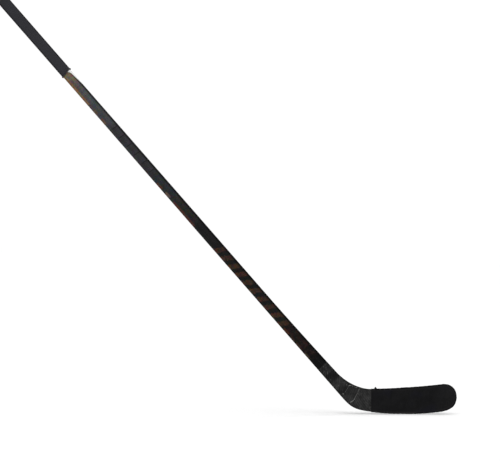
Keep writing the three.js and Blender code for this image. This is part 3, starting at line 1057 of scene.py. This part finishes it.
nubLook = {
    "foot": (-0.0796, 0.0004),  # X, and how far above the heel's top edge
    "height": 0.0057,
    "lean": (0.0009, 0.0008),
    "across": (0.0016, 0.0032, 1.6),  # half width at the tip, more at the foot, power of the fall
    "deep": (0.0009, 0.0018, 1.4),
    "rough": 0.08,
    "points": 16,
    "seed": 3,
}


def makeTapeNub(finish):
    # a pinched fold at the start of the strip stands up on the top edge
    look = nubLook
    rng = np.random.default_rng(look["seed"])
    turns = np.linspace(0, 2 * math.pi, look["points"], endpoint=False)
    rings = []
    for part in np.linspace(0, 1, 9):
        rough = 1 + rng.uniform(-look["rough"], look["rough"], look["points"])
        reaches = []
        for tip, more, power in (look["across"], look["deep"]):
            reaches.append((tip + more * (1 - part) ** power) * math.sqrt(1 - 0.9 * part**6) * rough)
        across, deep = reaches
        x = look["foot"][0] - look["lean"][0] * part**2 + across * np.cos(turns)
        y = deep * np.sin(turns) - look["lean"][1] * part**2
        z = bladeForm["heelHeight"] + look["foot"][1] + look["height"] * part + 0 * turns
        rings.append(np.stack([x, y, z], -1))
    hand(solidPiece("tapeNub", np.array(rings), smoothAngle=50), None, finish)


def yarnTree():
    # loose threads that stand off an edge line
    graph, given = newTree("looseYarn", count="Int", length="Float", thick="Float", seed="Int")
    line = graph.flow("GeometryNodeMeshToCurve", {"Mesh": given["Geometry"]})
    spread = graph.flow("GeometryNodeResampleCurve", {"Curve": line, "Count": given["count"]})
    ends = {"Start": (0, 0, -0.1), "Middle": (0, 0, 0.5), "End": (0.4, 0, 0.95)}
    bend = graph.flow("GeometryNodeCurveQuadraticBezier", {"Resolution": 4, **ends})
    slim = given["thick"] / given["length"]
    section = graph.flow("GeometryNodeCurvePrimitiveCircle", {"Resolution": 3, "Radius": slim})
    thread = graph.flow("GeometryNodeCurveToMesh", {
        "Curve": bend, "Profile Curve": section, "Fill Caps": True
    })

    def draw(kind, output, limits):
        values = {**limits, "Seed": given["seed"]}
        return graph.flow("FunctionNodeRandomValue", values, output, data_type=kind)

    threads = graph.flow("GeometryNodeInstanceOnPoints", {
        "Points": spread,
        "Selection": draw("BOOLEAN", 3, {"Probability": 0.55}),
        "Instance": thread,
        "Rotation": draw("FLOAT_VECTOR", 0, {0: (-0.5, -2.3, -3.1), 1: (0.5, -0.9, 3.1)}),
        "Scale": draw("FLOAT", 1, {2: 0.25, 3: 1.1}) * given["length"],
    })
    return endTree(graph, threads, given)


def makeYarn(finish):
    # the threads stand along the edge of the first turn
    look = tapeLook
    above = look["outer"] + look["winding"]["layer"] / 2
    ring = fullRings(bladeCuts(np.array([1.0])), -above)[0][0]
    mesh = bpy.data.meshes.new("looseYarn")
    mesh.from_pydata(ring.tolist(), [(point, (point + 1) % len(ring)) for point in range(len(ring))], [])
    piece = addPiece("looseYarn", mesh)
    grow(piece, yarnTree(), **look["yarn"], material=finish)
    hand(piece, None)


gripLook = {
    "slant": 0.0045,
    "gap": 0.0003,
    "thick": 0.0011,
    "top": 1.583,
    "rim": 0.0006,  # both rims are rounded over this length
    "rimDrops": (0.55, 0.16),  # how far they fall, in parts of it
    "cutCount": 316,
    "inner": 0.0002,  # its inner face above the bare shaft
    "rungSteps": 12,  # points across a wide face, which the pips' columns count
    "colour": (49, 49, 53),
    "palm": (40, 40, 43),
    "dust": (60, 60, 63),
    # painted shade near both corners of the sleeve
    "cornerShadeTone": (24, 24, 27),
    "pipTone": (64, 64, 68),
    "pips": {"length": 0.0036, "width": 0.0014, "height": 0.00045},
    "pipRows": 3,  # cuts of the sleeve from one row of pips to the next
    "pipColumns": [1, 3, 6, 9, 12, 15, 18, 21, 24, 27, 29],  # by turns on one row and the next
}


def gripFinish():
    look = gripLook
    graph = Finish("gripRubber", gloss=0.08)
    place = graph.place()
    dust = place.noise(48.0, 4.0)
    grain = place.noise(800.0)
    edge = graph.math("MINIMUM", *graph.map("edgeMap").parts()[:2])
    pip = graph.flow("ShaderNodeAttribute", output="Fac", attribute_name="pipTop")
    tone = graph.coats(
        graph.mix(grain.ranged(0.3, 0.7), dimmed(look["colour"], 0.82), dimmed(look["colour"], 1.16)),
        (dust.ranged(0.45, 0.75, 0.0, 0.25), look["dust"]),
        (place.noise(14.0, 2.0).ranged(0.5, 0.7, 0.0, 0.22), look["palm"]),
        # painted shade: darker near both corners of the sleeve
        (edge.ranged(0.0034, 0.0010, 0.0, 0.7), look["cornerShadeTone"]),
        (pip * 0.5, look["pipTone"]),
    )
    return graph.done(tone, dust.ranged(0.2, 0.8, 0.70, 0.88), grain.bump(0.0001, 0.6))


beadLook = {
    "length": 0.0044,
    "height": 0.0033,
    "clear": 0.0001,  # between it and the sleeve's lower end
    "colours": [(44, 44, 47), (56, 56, 59)],
    "dust": (58, 57, 56),
}


def beadFinish():
    graph = Finish("beadRubber", gloss=0.1)
    place = graph.place()
    grain = place.noise(700.0)
    tone = graph.mix(grain.ranged(0.3, 0.7), *beadLook["colours"])
    tone = graph.mix(place.spots(420.0, 0.64, 0.72), tone, beadLook["dust"])
    return graph.done(tone, grain.ranged(0.2, 0.8, 0.62, 0.8), grain.bump(0.00008, 0.5))


def pipTree():
    # one low pip on every marked point, lying across the shaft
    graph, given = newTree("gripPips", length="Float", width="Float", height="Float", shaftWay="Vector")
    ball = graph.flow("GeometryNodeMeshUVSphere", {"Segments": 8, "Rings": 5, "Radius": 0.5})
    marked = {"Geometry": ball, "Name": "pipTop", "Value": 1.0}
    normal = graph.flow("GeometryNodeInputNormal")
    turn = "FunctionNodeAlignRotationToVector"
    upright = graph.flow(turn, {"Vector": normal}, axis="Z")
    lying = graph.flow(turn, {"Rotation": upright, "Vector": given["shaftWay"]}, axis="Y", pivot_axis="Z")
    pips = graph.flow("GeometryNodeInstanceOnPoints", {
        "Points": given["Geometry"],
        "Selection": graph.math("GREATER_THAN", graph.mark("pipSpot"), 0.5),
        "Instance": graph.flow("GeometryNodeStoreNamedAttribute", marked),
        "Rotation": lying,
        "Scale": graph.join(given["length"], given["width"], given["height"] * 2.0),
    })
    both = graph.add("GeometryNodeJoinGeometry")
    graph.feed(both.inputs[0], pips)
    graph.feed(both.inputs[0], given["Geometry"])
    return endTree(graph, both.outputs[0], given)


def makeGrip():
    # the sleeve's lower end is askew and its upper end is square
    look, rim = gripLook, gripLook["rim"]
    start, top = shaftForm["gripStart"], look["top"]
    spots = np.concatenate([
        [start, start + rim / 3], np.linspace(start + rim, top - rim, look["cutCount"]), [top - rim / 3, top]
    ])
    cuts = shaftCuts(spots, look["slant"] * (top - spots) / (top - start))
    outer = np.full(len(spots), look["gap"] + look["thick"])
    for step, drop in enumerate(look["rimDrops"]):
        outer[[step, -1 - step]] -= rim * drop
    steps = {"rungSteps": look["rungSteps"]}
    piece = tubePiece("gripSleeve", cuts, -outer, -look["inner"], startAt=start, **steps)
    addMark(piece.data, "pipSpot", pipSpots(piece, fullRings(cuts, -outer, **steps)[0]))
    way = (float(shaftUp[0]), 0.0, float(shaftUp[1]))
    grow(piece, pipTree(), shaftWay=way, **look["pips"], material=gripFinish())
    hand(piece, "grip_sleeve")


def pipSpots(piece, rings):
    # every other column of points is marked on one row and the columns between on the next
    last = rings.shape[1] - 1
    tree = kdtree.KDTree(len(piece.data.vertices))
    for index, place in enumerate(pointsOf(piece)):
        tree.insert(place, index)
    tree.balance()
    marks = np.zeros(len(piece.data.vertices))
    for row, cut in enumerate(range(4, len(rings) - 3, gripLook["pipRows"])):
        shown = [last // 2] if row % 2 else [0]
        for column in gripLook["pipColumns"][row % 2 :: 2]:
            shown += [column, last - column]
        for place in rings[cut, shown]:
            marks[tree.find(place)[1]] = 1
    return marks


def makeBead():
    # a rolled rim that pinches in at both ends
    gap = gripLook["gap"]
    end = shaftForm["gripStart"] - beadLook["clear"]
    part = (1 - np.cos(np.linspace(0, math.pi, 21))) / 2
    bulge = np.sqrt(np.maximum(1 - (2 * part - 1) ** 2, 0))
    height = gap / 2 + (beadLook["height"] - gap / 2) * bulge
    cuts = shaftCuts(end - beadLook["length"] * (1 - part), gripLook["slant"])
    hand(tubePiece("gripEndBead", cuts, -height, -gap / 4), "grip_end_bead", beadFinish())


knobLook = {
    "start": 1.544,
    "end": 1.586,
    "inner": 0.0015,  # its inner face and its thin ends above the bare shaft
    "thin": 0.0017,
    "build": 0.0046,
    "pitch": 0.0062,
    "colour": (26, 26, 27),
    "winding": {"layer": 0.0005, "wrinkle": 0.0005, "wrinkleSize": 0.009, "fold": 0.0},
}


def makeKnob(winding):
    look = knobLook
    spots = np.linspace(look["start"], look["end"], 100)
    part = (spots - look["start"]) / (look["end"] - look["start"])
    outer = look["thin"] + look["build"] * np.sqrt(np.maximum(1 - np.abs(2 * part - 1) ** 6, 0))
    piece = tubePiece("knobTape", shaftCuts(spots), -outer, -look["inner"], pitch=look["pitch"])
    addMark(piece.data, "foldPlace", np.zeros(len(piece.data.vertices)))
    grow(piece, winding, **look["winding"], material=clothFinish("knobCloth", look["colour"], worn=False))
    hand(piece, "knob_tape")


capLook = {
    "head": 0.0027,
    "shank": 0.055,
    "shankMiddle": 0.03,
    "round": 0.0008,
    "panel": 0.0032,
    "panelDepth": 0.0004,
    "colour": (31, 31, 33),
    "scuff": (70, 69, 68),
}


def capFinish():
    graph = Finish("capPlastic", gloss=0.25)
    place = graph.place()
    grain = place.noise(1200.0, 2.0)
    scuffs = place.stretch(1, 0.3, 1).spots(300.0, 0.6, 0.7)
    tone = graph.mix(scuffs * 0.4, capLook["colour"], capLook["scuff"])
    return graph.done(tone, grain.ranged(0.2, 0.8, 0.42, 0.6), grain.bump(0.00005, 0.6))


def makeCap():
    # a shank in the tube, a flush head with a rounded edge and a shallow panel on its end
    look = capLook
    inside = shaftForm["wall"] + gripLook["gap"]
    seat = buttEnd - look["head"]
    foot = seat - look["shank"]
    rim, panel, sunk = look["round"], look["panel"], look["panelDepth"]
    middle = seat - look["shankMiddle"]
    profile = [(foot, inside + rim), (foot + 2 * rim, inside), (middle, inside), (seat, inside), (seat, 0.0)]
    for turn in np.linspace(0, math.pi / 2, 7):
        profile.append((buttEnd - rim * (1 - math.sin(turn)), rim * (1 - math.cos(turn))))
    profile += [(buttEnd, panel), (buttEnd - sunk, panel + sunk)]
    distances, insets = np.array(profile).T
    rings = fullRings(shaftCuts(distances), insets)[0]
    hand(solidPiece("endCap", rings), "end_cap", capFinish())


# the pieces inside keep their own shapes
innerLook = {
    "carbon": [(28, 28, 30), (48, 48, 50)],
    "resin": (70, 64, 52),
    "foam": [(196, 188, 162), (226, 220, 200)],
    "foamSkin": (204, 190, 150),
    "epoxy": [(128, 108, 66), (158, 138, 92)],
    "bubble": (196, 184, 150),
}


def cells(graph, place, scale):
    return graph.flow("ShaderNodeTexVoronoi", {"Vector": place, "Scale": scale}, "Distance")


def innerCarbonFinish():
    graph = Finish("innerCarbon", gloss=0.2)
    place = graph.place()
    fibres = place.stretch(1, 8, 1).noise(420.0)
    resin = place.noise(90.0, 4.0)
    tone = graph.mix(fibres.ranged(0.3, 0.7), *innerLook["carbon"])
    tone = graph.mix(resin.ranged(0.5, 0.8, 0.0, 0.4), tone, innerLook["resin"])
    return graph.done(tone, resin.ranged(0.2, 0.8, 0.4, 0.65), fibres.bump(0.0001, 0.6))


def foamFinish():
    graph = Finish("coreFoam", gloss=0.1)
    place = graph.place()
    pores = cells(graph, place, 900.0)
    tone = graph.mix(pores.ranged(0.1, 0.7), *innerLook["foam"])
    tone = graph.mix(place.noise(60.0).ranged(0.4, 0.8, 0.0, 0.4), tone, innerLook["foamSkin"])
    return graph.done(tone, 0.92, pores.bump(0.0004, 0.8))


def adhesiveFinish():
    graph = Finish("fuseEpoxy", gloss=0.4)
    place = graph.place()
    bubbles = cells(graph, place, 420.0)
    flow = place.noise(70.0)
    tone = graph.mix(flow.ranged(0.3, 0.7), *innerLook["epoxy"])
    tone = graph.mix(bubbles.ranged(0.16, 0.05), tone, innerLook["bubble"])
    return graph.done(tone, flow.ranged(0.2, 0.8, 0.22, 0.4), bubbles.bump(0.0002, 0.5))


def finishInner():
    carbon, foam = innerCarbonFinish(), foamFinish()
    finishes = {
        "hosel_tenon": carbon,
        "blade_rib": carbon,
        "blade_upper_core": foam,
        "blade_lower_core": foam,
        "fuse_adhesive": adhesiveFinish(),
    }
    for node, finish in finishes.items():
        setFinish(frame["nodes"][node], finish)


makeShaft()
makeOutline(makeSkins())
winding = windingTree()
tapeCloth = clothFinish("bladeCloth", tapeLook["colour"])
makeBladeTape(winding, tapeCloth)
makeTapeNub(tapeCloth)
makeYarn(tapeCloth)
makeGrip()
makeBead()
makeKnob(winding)
makeCap()
finishInner()
print("pieces made")

stageForm = {
    "viewWidth": 1.4,
    "viewCentre": (-0.4312, 0.5135),
    "lens": 135.0,
    "sensor": 36.0,
    "seeTo": 200.0,
    "sunPower": 2.4,
    "sunSpread": math.radians(80),
    "sunWay": (-0.2, 0.25, -1.0),
    "skyLight": 0.42,
    "skySeen": 1.02,
    "floorReach": 40.0,
    "floorDrop": 0.0004,
    "floorTone": 0.93,
}


def makeFloor():
    mesh = bpy.data.meshes.new("floor")
    reach, drop = stageForm["floorReach"], stageForm["floorDrop"]
    corners = [(-reach, -reach), (reach, -reach), (reach, reach), (-reach, reach)]
    mesh.from_pydata([(x, y, -drop) for x, y in corners], [], [[0, 1, 2, 3]])
    floor = addPiece("floor", mesh)
    setFinish(floor, Finish("floorPaint", gloss=0.1).done(shade(stageForm["floorTone"]), 0.9))


def makeSun():
    # one very soft sun lights the floor evenly out to the horizon
    light = bpy.data.lights.new("softSun", "SUN")
    light.energy = stageForm["sunPower"]
    light.angle = stageForm["sunSpread"]
    holder = addPiece("softSun", light)
    holder.rotation_euler = Vector(stageForm["sunWay"]).to_track_quat("-Z", "Y").to_euler()


def makeWorld():
    # the sky is seen brighter than it lights
    world = bpy.data.worlds.new("studio")
    world.use_nodes = True
    bpy.context.scene.world = world
    graph = Graph(world.node_tree)
    seen = graph.flow("ShaderNodeLightPath", output="Is Camera Ray")
    backdrop = world.node_tree.nodes["Background"].inputs
    graph.feed(backdrop["Color"], (1, 1, 1, 1))
    lit, shown = stageForm["skyLight"], stageForm["skySeen"]
    graph.feed(backdrop["Strength"], seen.ranged(0.0, 1.0, lit, shown, smooth=False))


def makeCamera():
    data = bpy.data.cameras.new("camera")
    data.lens = stageForm["lens"]
    data.sensor_width = stageForm["sensor"]
    data.clip_end = stageForm["seeTo"]
    centre = stageForm["viewCentre"]
    camera = addPiece("camera", data)
    camera.location = (centre[0], -stageForm["viewWidth"] * data.lens / data.sensor_width, centre[1])
    camera.rotation_euler = (math.pi / 2, 0, 0)
    bpy.context.scene.camera = camera


makeFloor()
makeWorld()
makeSun()
makeCamera()
bpy.context.scene.view_settings.view_transform = "Standard"
